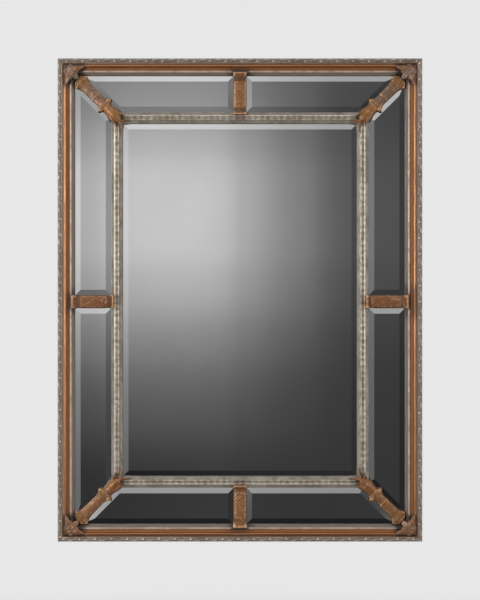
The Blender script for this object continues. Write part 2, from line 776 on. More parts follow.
@dataclass
class CrossStraps:
    """The straps over the joints in the middle of each side: cap, hollow band, scaled shaft, flared foot."""

    layout: Layout
    finish: bpy.types.Material
    side_finish: bpy.types.Material
    width: float = 0.031
    start: float = 0.0360
    end: float = 0.1448
    step: float = 0.0007
    columns: int = 61
    scale_pitch: float = 0.0088
    scale_start: float = 0.0590
    scale_end: float = 0.1255
    scale_depth: float = 0.0013
    scale_fade: float = 0.002
    scale_power: float = 0.7
    scale_level: float = 0.62
    bead_place: float = 0.82
    bead_share: float = 0.17
    bead_depth: float = 0.0007
    inside_shares: tuple[float, float] = (0.98, 0.62)
    flutes: float = 1.5
    flute_power: float = 0.7
    flute_level: float = 0.6
    flute_depth: float = 0.0006
    ear_place: float = 0.88
    ear_share: float = 0.12
    ear_rise: float = 0.0011
    end_rise: float = 0.0003
    cap_insets: tuple[float, float] = (0.048, 0.043)
    foot_insets: tuple[float, float] = (0.1365, 0.1395)
    lip_insets: tuple[float, float] = (0.0378, 0.1428)
    lip_spread: float = 0.0011
    lip_rise: float = 0.0009
    band_insets: tuple = ((0.0480, 0.0495, 0.0565, 0.0580), (0.1265, 0.1280, 0.1350, 0.1365))
    line_pitch: float = 0.0029
    line_depth: float = 0.00055
    side_rub: float = 0.75
    # Stations of inset and, in turn, half width as a share of the strap's own, heights and tone.
    width_stations: tuple = (
        (0.036, 1.15), (0.040, 1.12), (0.0455, 1.02), (0.0495, 0.99), (0.057, 1.01), (0.118, 1.02),
        (0.1265, 0.98), (0.134, 0.98), (0.140, 1.10), (0.1448, 1.16))
    side_stations: tuple = (
        (0.036, 0.0255), (0.041, 0.0232), (0.0470, 0.0176), (0.0505, 0.0156), (0.0575, 0.0158),
        (0.118, 0.0158), (0.1275, 0.0152), (0.135, 0.0180), (0.1405, 0.0222), (0.1448, 0.0228))
    crown_stations: tuple = (
        (0.036, 0.0290), (0.041, 0.0280), (0.0475, 0.0218), (0.0500, 0.0186), (0.0570, 0.0192),
        (0.0590, 0.0205), (0.118, 0.0205), (0.1255, 0.0200), (0.1290, 0.0182), (0.1350, 0.0196),
        (0.1375, 0.0240), (0.1410, 0.0264), (0.1448, 0.0258))
    under_stations: tuple = (
        (0.036, 0.0240), (0.0385, 0.0205), (0.0430, 0.0150), (0.0450, 0.0121), (0.1375, 0.0121),
        (0.1400, 0.0155), (0.1448, 0.0190))
    tone_stations: tuple = (
        (0.036, 0.10), (0.0465, 0.15), (0.0490, 1.0), (0.0565, 1.0), (0.0590, 0.0), (0.124, 0.0),
        (0.1275, 1.0), (0.1345, 1.0), (0.1370, 0.1), (0.1448, 0.0))

    def run(self) -> StrapRun:
        """The strap's outline and heights along its inset."""
        distance = np.linspace(self.start, self.end, int((self.end - self.start) / self.step))
        half = through(self.width_stations, distance) * self.width / 2
        heights = (self.under_stations, self.side_stations, self.crown_stations, self.tone_stations)
        return StrapRun(distance, half, *(through(stations, distance) for stations in heights), self.columns)

    def carving(self, run: StrapRun) -> np.ndarray:
        """Low edge beads and lozenges on the shaft, shallow flutes on cap and foot, fine lines on the bands.

        The lozenges are the lesser of two slanting waves. The flutes are a cosine across that fades in
        towards the ends, which have a low lip.
        """
        place = np.linspace(-1, 1, self.columns)
        across = run.half[:, None] * place
        distance = run.distance[:, None]
        bead = ridge(np.abs(place), self.bead_place, self.bead_share) * self.bead_depth
        shaft = smooth_step(self.scale_start, self.scale_start + self.scale_fade, distance)
        shaft = shaft * smooth_step(self.scale_end, self.scale_end - self.scale_fade, distance)
        inside = smooth_step(*self.inside_shares, np.abs(place))
        slant_a = np.abs(np.sin(math.pi * (distance + across) / self.scale_pitch))
        slant_b = np.abs(np.sin(math.pi * (distance - across) / self.scale_pitch))
        scales = np.minimum(slant_a, slant_b) ** self.scale_power - self.scale_level
        scales = scales * self.scale_depth * shaft * inside
        flute = np.abs(np.cos(math.pi * self.flutes * place)) ** self.flute_power - self.flute_level
        flute = self.flute_depth * flute * smooth_step(1.0, self.ear_place, np.abs(place))
        ears = self.ear_rise * ridge(np.abs(place), self.ear_place, self.ear_share)
        ends = smooth_step(*self.cap_insets, distance) + smooth_step(*self.foot_insets, distance)
        flutes = (flute + ears + self.end_rise) * ends
        lips = sum(ridge(distance, inset, self.lip_spread) for inset in self.lip_insets)
        band = sum(plateau(insets, distance) for insets in self.band_insets)
        fine = self.line_depth * np.cos(FULL_TURN * distance / self.line_pitch) * band
        return bead * shaft + scales + flutes + self.lip_rise * lips + fine

    def build(self) -> None:
        """Make each strap and set it in place of its CAD node."""
        run = self.run()
        across, height, relief, tone = run.grids(self.carving(run))
        inset = np.broadcast_to(run.distance[:, None], across.shape)
        for side in Side:
            rub = self.side_rub if side.upright else 1.0
            base = swept_shell(np.zeros((*across.shape, 3)), 0.5 + rub * (relief - 0.5), tone)
            rings = self.layout.at_side(side, across + self.layout.joint_place(side), inset, height)
            points = np.concatenate([rings.reshape(-1, 3), rings[[0, -1]].mean(axis=1)])
            piece = piece_from(base.moved(points), f"cast_cross_strap_{side.label}")
            finish = self.side_finish if side.upright else self.finish
            installed(piece, f"cross_strap_{side.label}", finish)


@dataclass
class CornerCasting:
    """A casting that is made once in the corner frame and repeated at every corner."""

    layout: Layout
    finish: bpy.types.Material
    prefix: str = ""
    slot: str = ""

    def shells(self) -> list[Shell]:
        """The casting's closed shells in the corner frame."""
        raise NotImplementedError

    def build(self) -> None:
        """Make the casting of each corner and set it in place of its CAD node."""
        shells = self.shells()
        for corner in Corner:
            placed = [shell.moved(self.layout.at_corner(corner, shell.points)) for shell in shells]
            piece = piece_from(gathered(placed), f"cast_{self.prefix}_{corner.label}")
            installed(piece, f"{self.prefix}_{corner.label}", self.finish)


@dataclass
class CornerStraps(CornerCasting):
    """The castings over the diagonal joints: rounded end, shaft with a ring, eared collar, leaf and tips."""

    prefix: str = "corner_strap"
    slot: str = "bronze_strap"
    end_middle: float = 0.195
    end_reach: float = 0.090
    end_half: float = 0.0205
    end_share: float = 1.20
    opening_angle: float = 0.02
    rows: int = 190
    end_rows: int = 26
    columns: int = 45
    glass: float = 0.014
    full: float = 0.01625
    shaft_shares: tuple = (0.27, 0.33, 0.68, 0.74)
    edge_place: float = 0.86
    edge_share: float = 0.09
    edge_rise: float = 0.0006
    reeds: float = 2.5
    reed_depth: float = 0.00014
    reed_fade_shares: tuple[float, float] = (0.72, 0.6)
    wave_share: float = 0.031
    wave_depth: float = 0.00012
    ring_shares: tuple[float, float] = (0.568, 0.596)
    ring_spread: float = 0.0065
    ring_rise: float = 0.0006
    flutes: float = 1.5
    flute_level: float = 0.5
    flute_shares: tuple[float, float] = (0.27, 0.21)
    flute_fade_shares: tuple[float, float] = (0.9, 0.7)
    flute_depth: float = 0.00055
    flute_sink: float = 0.00022
    collar_shares: tuple = (0.72, 0.75, 0.84, 0.86)
    knurls: float = 3.5
    knurl_depth: float = 0.0006
    knurl_level: float = 0.4
    leaf_shares: tuple[float, float] = (0.89, 0.95)
    leaf_rise: float = 0.0008
    rim_angle: float = 1.82
    rim_rows: int = 64
    rim_share: float = 0.95
    rim_radius: float = 0.0017
    rim_low: float = 0.42
    rim_gain: float = 0.06
    rim_shine: float = 0.74
    pinch: float = 0.05
    pinch_angle: float = 1.6
    ear_radius: float = 0.0030
    ear_angle: float = 1.28
    ear_shares: tuple[float, float] = (0.72, 0.90)
    ear_lift: float = 0.0002
    scroll_share: float = 0.802
    scroll_reach: float = 0.0150
    scroll_radius: float = 0.0050
    scroll_turns: float = 1.45
    scroll_start: float = math.radians(225)
    scroll_lean: float = math.radians(75)
    scroll_shrink: float = 0.92
    scroll_thick_share: float = 0.46
    scroll_thin_share: float = 0.10
    scroll_end_share: float = 0.06
    scroll_height_shares: tuple[float, float] = (0.46, 0.80)
    scroll_rows: int = 60
    fringe_share: float = 0.848
    fringe_reach: float = 0.0092
    fringe_half_share: float = 0.016
    fringe_radius: float = 0.0021
    fringe_top: float = 0.66
    fringe_fall: float = 900.0
    fringe_beads: int = 5
    fringe_rows: int = 9
    # Stations of share of the diagonal and, in turn, half width, shares of the full height, and tone.
    width_stations: tuple = (
        (0.10, 0.0205), (0.205, 0.0205), (0.235, 0.0172), (0.275, 0.0148), (0.34, 0.0134),
        (0.45, 0.0128), (0.56, 0.0124), (0.58, 0.0131), (0.60, 0.0122), (0.655, 0.0119),
        (0.70, 0.0124), (0.765, 0.0160), (0.815, 0.0174), (0.85, 0.0158), (0.885, 0.0118),
        (0.93, 0.0126), (1.03, 0.0144), (1.11, 0.0138), (1.20, 0.0090))
    crown_shares: tuple = (
        (0.10, 0.40), (0.195, 0.47), (0.28, 0.40), (0.35, 0.45), (0.56, 0.46), (0.58, 0.52),
        (0.60, 0.46), (0.66, 0.47), (0.74, 0.58), (0.81, 0.72), (0.85, 0.68), (0.885, 0.56),
        (0.95, 0.72), (1.03, 0.88), (1.12, 0.95), (1.20, 0.93))
    side_shares: tuple = (
        (0.10, 0.30), (0.195, 0.36), (0.28, 0.20), (0.35, 0.15), (0.56, 0.15), (0.58, 0.22),
        (0.60, 0.15), (0.66, 0.16), (0.74, 0.24), (0.81, 0.36), (0.86, 0.28), (0.95, 0.34),
        (1.05, 0.52), (1.20, 0.62))
    under_shares: tuple = ((0.10, -0.11), (0.97, -0.11), (1.02, 0.10), (1.20, 0.34))
    tone_shares: tuple = (
        (0.10, 0.0), (0.25, 0.1), (0.31, 0.9), (0.56, 1.0), (0.575, 0.2), (0.595, 0.2),
        (0.61, 1.0), (0.72, 0.9), (0.79, 0.5), (0.86, 0.1), (1.20, 0.0))

    def inset(self, share: float) -> float:
        """Inset of a point of the diagonal: 0 at the outer lip's corner, 1 at the inner rail's."""
        return self.layout.outer_rail + share * self.layout.border

    def height(self, share: float) -> float:
        """Height over the back plane for a share of the strap's full height over the glass."""
        return self.glass + share * self.full

    def on_strap(self, share: np.ndarray, aside: np.ndarray, height: np.ndarray) -> np.ndarray:
        """Corner frame points from shares of the diagonal, distances aside of it and heights."""
        middle = self.inset(share)
        slip = math.sqrt(0.5)
        return np.stack(np.broadcast_arrays(middle + slip * aside, middle - slip * aside, height), axis=-1)

    def body(self) -> Shell:
        """The strap itself, swept along the diagonal from its rounded end to the inner rail.

        The end's half width is an ellipse of the share. Past it the outline, the crown and the sides
        follow eased stations, and low reeds, a double ring and a knurled collar are added on top.
        """
        angles = np.linspace(self.opening_angle, math.pi / 2, self.end_rows)
        opening = self.end_middle - self.end_reach * np.cos(angles)
        share = np.concatenate([opening[:-1], np.linspace(self.end_middle, self.end_share, self.rows)])
        rounded = np.where(share < self.end_middle, dome((self.end_middle - share) / self.end_reach), 1)
        half = through(self.width_stations, share) * rounded
        lines = (self.under_shares, self.side_shares, self.crown_shares)
        heights = (self.height(through(line, share)) for line in lines)
        run = StrapRun(share, half, *heights, through(self.tone_shares, share), self.columns)
        across, height, relief, tone_grid = run.grids(self.body_carving(share))
        rings = self.on_strap(share[:, None], across, height)
        return swept_shell(rings, relief, tone_grid).outward()

    def body_carving(self, share: np.ndarray) -> np.ndarray:
        """Soft edge beads and reeds on the shaft, a double ring, flutes at the end, knurls on the collar."""
        place = np.linspace(-1, 1, self.columns)
        distance = share[:, None]
        shaft = plateau(self.shaft_shares, distance)
        edge = ridge(np.abs(place), self.edge_place, self.edge_share) * self.edge_rise
        reed = np.cos(FULL_TURN * self.reeds * place) * smooth_step(*self.reed_fade_shares, np.abs(place))
        reed = self.reed_depth * reed + self.wave_depth * np.cos(FULL_TURN * distance / self.wave_share)
        rings = sum(ridge(distance, middle, self.ring_spread) for middle in self.ring_shares)
        rings = rings * self.ring_rise
        end = smooth_step(*self.flute_shares, distance)
        flute = np.abs(np.cos(math.pi * self.flutes * place)) - self.flute_level
        flute = self.flute_depth * flute * smooth_step(*self.flute_fade_shares, np.abs(place))
        flute = (flute - self.flute_sink) * end
        knurl = np.abs(np.cos(math.pi * self.knurls * place)) - self.knurl_level
        knurl = self.knurl_depth * knurl * plateau(self.collar_shares, distance)
        leaf = self.leaf_rise * smooth_step(*self.leaf_shares, distance) * (1 - place**2)
        return (edge + reed) * shaft + rings + flute + knurl + leaf

    def rim(self) -> list[Shell]:
        """The raised rim round the end, a bar that swells into an ear at each side."""
        angle = np.linspace(-self.rim_angle, self.rim_angle, self.rim_rows)
        share = self.end_middle - self.rim_share * self.end_reach * np.cos(angle)
        pinched = 1 - self.pinch * (np.abs(angle) > self.pinch_angle)
        aside = (self.end_half - self.rim_radius) * np.sin(angle) * pinched
        reach = np.abs(angle) / angle[-1]
        height = self.height(self.rim_low + self.rim_gain * reach)
        swell = self.rim_radius + (self.ear_radius - self.rim_radius) * smooth_step(*self.ear_shares, reach)
        thick = swell * dome(smooth_step(self.ear_shares[1], 1.0, reach))
        ears = np.abs(angle) > self.ear_angle
        whole = self.on_strap(share, aside, height)
        bars = [rope(whole, thick, flat=0.9, shine=self.rim_shine)]
        for half in (angle < 0, angle > 0):
            bars.append(rope(whole[ears & half] + (0, 0, self.ear_lift), thick[ears & half], flat=0.95))
        return bars

    def scrolls(self) -> list[Shell]:
        """The collar's ears: spirals that shrink inwards while they rise, with a fringe of beads between."""
        share = np.linspace(0, 1, self.scroll_rows)
        radius = self.scroll_radius * (1 - self.scroll_shrink * share)
        thick = self.scroll_radius * (self.scroll_thick_share - self.scroll_thin_share * share)
        thick = thick * dome(smooth_step(self.scroll_end_share, 0.0, share))
        low, high = (self.height(level) for level in self.scroll_height_shares)
        rise = np.linspace(low, high, self.scroll_rows)
        shells = []
        for sign in (1, -1):
            angle = self.scroll_start + sign * (self.scroll_lean + share * self.scroll_turns * FULL_TURN)
            centre = self.on_strap(self.scroll_share, sign * self.scroll_reach, 0.0)
            turn = np.stack([np.cos(angle), np.sin(angle), np.zeros_like(angle)], axis=-1) * radius[:, None]
            shells.append(rope(centre + turn + np.outer(rise, (0, 0, 1)), thick))
        spread = np.linspace(-1, 1, self.fringe_rows)
        along = self.fringe_share + self.fringe_half_share * spread
        for aside in np.linspace(-self.fringe_reach, self.fringe_reach, self.fringe_beads):
            bar = self.on_strap(along, aside, self.height(self.fringe_top - self.fringe_fall * aside**2))
            shells.append(rope(bar, self.fringe_radius * dome(spread)))
        return shells

    def leaf(self) -> list[Shell]:
        """The leaf from the collar to the inner rail's corner, with a side leaf on each side."""
        centre = Blade(
            root=(self.inset(0.84), self.inset(0.84), self.height(0.56)),
            bend=(self.inset(1.02), self.inset(1.02), self.height(1.00)),
            tip=(self.inset(1.245), self.inset(1.245), self.height(0.90)),
            half_width=0.0108, crown=0.0030, fullness=0.55, root_share=0.28, lobes=2, notch=0.06,
            groove=0.06, rim=0.0, veins=0.03, thickness=0.006, rows=60, columns=25)
        side = Blade(
            root=(self.inset(0.90), self.inset(0.94), self.height(0.50)),
            bend=(self.inset(0.97), self.inset(1.10), self.height(0.88)),
            tip=(self.inset(1.07), self.inset(1.30), self.height(0.86)),
            half_width=0.0062, crown=0.0026, root_share=0.2, lobes=1, notch=0.04, groove=0.08, rim=0.0,
            veins=0.04, thickness=0.006)
        return [centre.shell(), side.shell(), mirrored_blade(side).shell()]

    def tips(self) -> list[Shell]:
        """The leaf tips that lie on the inner rails, a long and a short one on each, with curled ends."""
        rail = self.layout.inner_rail
        start = self.layout.inner_start
        long_tip = Blade(
            root=(start + 0.50 * rail, start + 0.10 * rail, self.height(0.80)),
            bend=(start + 0.90 * rail, start + 0.80 * rail, self.height(0.84)),
            tip=(start + 0.84 * rail, start + 1.86 * rail, self.height(0.52)),
            half_width=0.0036, crown=0.0024, root_share=0.22, lobes=2, notch=0.10, groove=0.10, rim=0.0,
            veins=0.05, thickness=0.006, tone=0.05, rows=50)
        short_tip = Blade(
            root=(start + 0.30 * rail, start - 0.05 * rail, self.height(0.80)),
            bend=(start + 0.10 * rail, start + 0.42 * rail, self.height(0.92)),
            tip=(start + 0.20 * rail, start + 1.08 * rail, self.height(0.68)),
            half_width=0.0044, crown=0.0024, root_share=0.22, lobes=2, notch=0.10, groove=0.10, rim=0.0,
            veins=0.05, thickness=0.006, tone=0.05)
        shells = []
        for blade in (long_tip, short_tip):
            shells += [blade.shell(), mirrored_blade(blade).shell()]
        return shells

    def shells(self) -> list[Shell]:
        """The strap with its rim, scrolls, leaf and tips."""
        return [self.body()] + self.rim() + self.scrolls() + self.leaf() + self.tips()


@dataclass
class CornerLeaves(CornerCasting):
    """The cast leaves over the outer rail's mitres: two broad arms, two inner lobes and a middle lobe."""

    prefix: str = "corner_leaf"
    slot: str = "bronze_leaf"
    curl_radius: float = 0.0024
    curl_across: float = 0.0238
    curl_up: float = 0.0650
    curl_height: float = 0.0334
    curl_rows: int = 11

    def blades(self) -> list[Blade]:
        """The leaf's lobes, in the corner frame."""
        arm = Blade(
            root=(0.0300, 0.0250, 0.0290), bend=(0.0300, 0.0480, 0.0335),
            tip=(0.0228, 0.0665, 0.0330), half_width=0.0084, crown=0.0032, fullness=0.6,
            root_share=0.25, lobes=2, notch=0.14, groove=0.25, rim=0.10, veins=0.2, thickness=0.012,
            tone=0.25, rows=50)
        outer_lobe = Blade(
            root=(0.0250, 0.0250, 0.0290), bend=(0.0190, 0.0330, 0.0320),
            tip=(0.0205, 0.0480, 0.0295), half_width=0.0052, crown=0.0024, root_share=0.25,
            lobes=2, notch=0.14, groove=0.3, rim=0.1, veins=0.2, thickness=0.009, tone=0.8)
        middle = Blade(
            root=(0.0245, 0.0245, 0.0290), bend=(0.0370, 0.0370, 0.0353),
            tip=(0.0528, 0.0528, 0.0256), half_width=0.0116, crown=0.0036, fullness=0.45,
            root_share=0.25, lobes=2, notch=0.12, groove=0.3, rim=0.10, veins=0.25, thickness=0.014,
            tone=1.0, rows=56, columns=23)
        side = Blade(
            root=(0.0285, 0.0310, 0.0315), bend=(0.0330, 0.0440, 0.0339),
            tip=(0.0362, 0.0555, 0.0270), half_width=0.0066, crown=0.0030, root_share=0.25,
            lobes=2, notch=0.14, groove=0.25, rim=0.10, veins=0.2, thickness=0.012, tone=0.9)
        return [
            outer_lobe, mirrored_blade(outer_lobe), arm, mirrored_blade(arm), side, mirrored_blade(side),
            middle]

    def curls(self) -> list[Shell]:
        """The curled end of each arm, a short round bar across it."""
        spread = np.linspace(-1, 1, self.curl_rows)
        across = self.curl_across + self.curl_radius * spread
        up = np.full(self.curl_rows, self.curl_up)
        height = np.full(self.curl_rows, self.curl_height)
        thick = self.curl_radius * dome(spread)
        return [rope(np.stack([*plan, height], axis=-1), thick) for plan in ((across, up), (up, across))]

    def shells(self) -> list[Shell]:
        """The lobes and the curled ends."""
        return [blade.shell() for blade in self.blades()] + self.curls()


Socket = bpy.types.NodeSocket


class Graph:
    """A material's or world's node tree, with short calls for the nodes that the finishes share."""

    def __init__(self, name: str) -> None:
        """Start an empty material with an output and a main shader."""
        self.material = bpy.data.materials.new(name)
        self.material.use_nodes = True
        self.tree = self.material.node_tree
        self.shader = self.tree.nodes["Principled BSDF"]

    def node(self, kind: str, **values: object) -> bpy.types.Node:
        """Add a node and set its plain properties."""
        made = self.tree.nodes.new(kind)
        for label, value in values.items():
            setattr(made, label, value)
        return made

    def feed(self, socket: Socket, value: object) -> None:
        """Link a socket into another, or set its value."""
        if isinstance(value, Socket):
            self.tree.links.new(value, socket)
        else:
            socket.default_value = value

    def maths(self, operation: str, first: object, second: object = 0.0, clamp: bool = False) -> Socket:
        """One arithmetic step on two values."""
        made = self.node("ShaderNodeMath", operation=operation, use_clamp=clamp)
        self.feed(made.inputs[0], first)
        self.feed(made.inputs[1], second)
        return made.outputs[0]

    def spread(
        self, value: object, low: float, high: float, to_low: float = 0.0, to_high: float = 1.0
    ) -> Socket:
        """Map a range of values smoothly onto another."""
        made = self.node("ShaderNodeMapRange", interpolation_type="SMOOTHSTEP")
        for socket, number in zip(made.inputs[:5], (value, low, high, to_low, to_high)):
            self.feed(socket, number)
        return made.outputs[0]

    def place(self) -> tuple[Socket, Socket, Socket]:
        """Object coordinates, split into X, Y and Z."""
        split = self.node("ShaderNodeSeparateXYZ")
        self.feed(split.inputs[0], self.object_place())
        return split.outputs[0], split.outputs[1], split.outputs[2]

    def object_place(self) -> Socket:
        """Object coordinates as one vector."""
        return self.node("ShaderNodeTexCoord").outputs["Object"]

    def attribute(self, label: str) -> Socket:
        """A value that the mesh holds at each point."""
        return self.node("ShaderNodeAttribute", attribute_name=label).outputs["Fac"]

    def noise(self, scale: float, detail: float = 4.0, rough: float = 0.55, place: object = None) -> Socket:
        """Cloudy noise of about 0.5 on object coordinates, or on another place."""
        made = self.node("ShaderNodeTexNoise")
        self.feed(made.inputs["Vector"], place if place is not None else self.object_place())
        self.feed(made.inputs["Scale"], scale)
        self.feed(made.inputs["Detail"], detail)
        self.feed(made.inputs["Roughness"], rough)
        return made.outputs["Fac"]

    def stretched(self, x: float, y: float, z: float) -> Socket:
        """Object coordinates scaled apart along each axis."""
        made = self.node("ShaderNodeMapping")
        self.feed(made.inputs["Vector"], self.object_place())
        made.inputs["Scale"].default_value = (x, y, z)
        return made.outputs[0]

    def length(self, first: Socket, second: Socket) -> Socket:
        """The root of the sum of two squares."""
        squares = [self.maths("MULTIPLY", value, value) for value in (first, second)]
        return self.maths("SQRT", self.maths("ADD", *squares))

    def stirred(self, value: Socket, cloud: Socket, gain: float) -> Socket:
        """A value moved by a cloud's distance from its middle, times a gain."""
        centred = self.maths("SUBTRACT", cloud, 0.5)
        return self.maths("ADD", value, self.maths("MULTIPLY", centred, gain))

    def ramp(self, value: Socket, stops: Iterable[tuple[float, tuple]]) -> Socket:
        """Colours along a value from 0 to 1."""
        made = self.node("ShaderNodeValToRGB")
        elements = made.color_ramp.elements
        stops = list(stops)
        while len(elements) < len(stops):
            elements.new(1.0)
        for element, (position, tint) in zip(elements, stops):
            element.position = position
            element.color = (*tint, 1.0)
        self.feed(made.inputs[0], value)
        return made.outputs[0]

    def curve(self, value: Socket, stops: Sequence[tuple[float, float]]) -> Socket:
        """A smooth curve of a value from 0 to 1 through stops of place and level."""
        made = self.node("ShaderNodeFloatCurve")
        points = made.mapping.curves[0].points
        for place, level in stops[1:-1]:
            points.new(place, level)
        points[0].location = stops[0]
        points[-1].location = stops[-1]
        made.mapping.update()
        self.feed(made.inputs["Value"], value)
        return made.outputs[0]

    def mixed(self, share: object, first: object, second: object, blend: str = "MIX") -> Socket:
        """Two colours mixed by a share."""
        made = self.node("ShaderNodeMix", data_type="RGBA", blend_type=blend)
        self.feed(made.inputs[0], share)
        for socket, value in ((made.inputs[6], first), (made.inputs[7], second)):
            self.feed(socket, (*value, 1.0) if isinstance(value, tuple) else value)
        return made.outputs[2]

    def bump(self, height: Socket, distance: float, strength: float = 1.0) -> None:
        """Fine relief on the shader's normal."""
        made = self.node("ShaderNodeBump")
        self.feed(made.inputs["Height"], height)
        made.inputs["Distance"].default_value = distance
        made.inputs["Strength"].default_value = strength
        self.feed(self.shader.inputs["Normal"], made.outputs[0])

    def set(self, **values: object) -> None:
        """Feed the shader's own sockets, named with underscores for spaces."""
        for label, value in values.items():
            socket = self.shader.inputs[label.replace("_", " ").title()]
            self.feed(socket, (*value, 1.0) if isinstance(value, tuple) else value)


def colour(red: int, green: int, blue: int) -> tuple[float, float, float]:
    """A colour given as display values from 0 to 255, as the linear values that shaders take."""
    shares = np.array([red, green, blue]) / 255
    linear = np.where(shares <= 0.04045, shares / 12.92, ((shares + 0.055) / 1.055) ** 2.4)
    return tuple(float(value) for value in linear)


@dataclass(frozen=True)
class DirtFade:
    """Dirt of one strength up to a reach in metres, fading to nothing over a further length."""

    reach: float
    fade: float
    strength: float

    def over(self, graph: Graph, distance: Socket) -> Socket:
        """The dirt's share at a distance."""
        return graph.spread(distance, self.reach, self.reach + self.fade, self.strength, 0.0)


@dataclass(frozen=True)
class MouldingPlace:
    """Nodes for where a point lies on the mirror's four sides, from its own coordinates."""

    layout: Layout
    fray: float = 0.02

    def from_edges(self, graph: Graph) -> tuple[Socket, Socket]:
        """Distances to the nearest upright edge and to the nearest level edge."""
        x, _, z = graph.place()
        from_side = graph.maths("SUBTRACT", self.layout.width / 2, graph.maths("ABSOLUTE", x))
        from_level = graph.maths("SUBTRACT", self.layout.height / 2, graph.maths("ABSOLUTE", z))
        return from_side, from_level

    def sockets(self, graph: Graph) -> tuple[Socket, Socket]:
        """The inset and the run, in metres.

        Args:
            graph: The node tree.

        Returns:
            The inset, the smaller of the distances to the edges, and the run, the coordinate along the
            side that this picks.
        """
        x, _, z = graph.place()
        from_side, from_level = self.from_edges(graph)
        on_side = graph.maths("LESS_THAN", from_side, from_level)
        along_side = graph.maths("MULTIPLY", z, on_side)
        along_level = graph.maths("MULTIPLY", x, graph.maths("SUBTRACT", 1.0, on_side))
        inset = graph.maths("MINIMUM", from_side, from_level)
        return inset, graph.maths("ADD", along_side, along_level)

    def dirt(self, graph: Graph, cloud: Socket, corner: DirtFade, joint: DirtFade) -> tuple[Socket, Socket]:
        """Dirt that gathers beside the castings, its edge frayed by a cloud.

        Args:
            graph: The node tree.
            cloud: A noise.
            corner: The dirt's fade with the larger of the distances to the edges.
            joint: Its fade with the smaller of the distances to the lines through the panes' joints.

        Returns:
            The dirt's shares by the corners and by the joints.
        """
        x, _, z = graph.place()
        from_corner = graph.maths("MAXIMUM", *self.from_edges(graph))
        level = graph.maths("ABSOLUTE", graph.maths("ADD", z, self.layout.joint_drop))
        from_joint = graph.maths("MINIMUM", graph.maths("ABSOLUTE", x), level)
        drift = graph.maths("MULTIPLY", cloud, self.fray)
        by_corner = corner.over(graph, graph.maths("ADD", from_corner, drift))
        return by_corner, joint.over(graph, graph.maths("ADD", from_joint, drift))


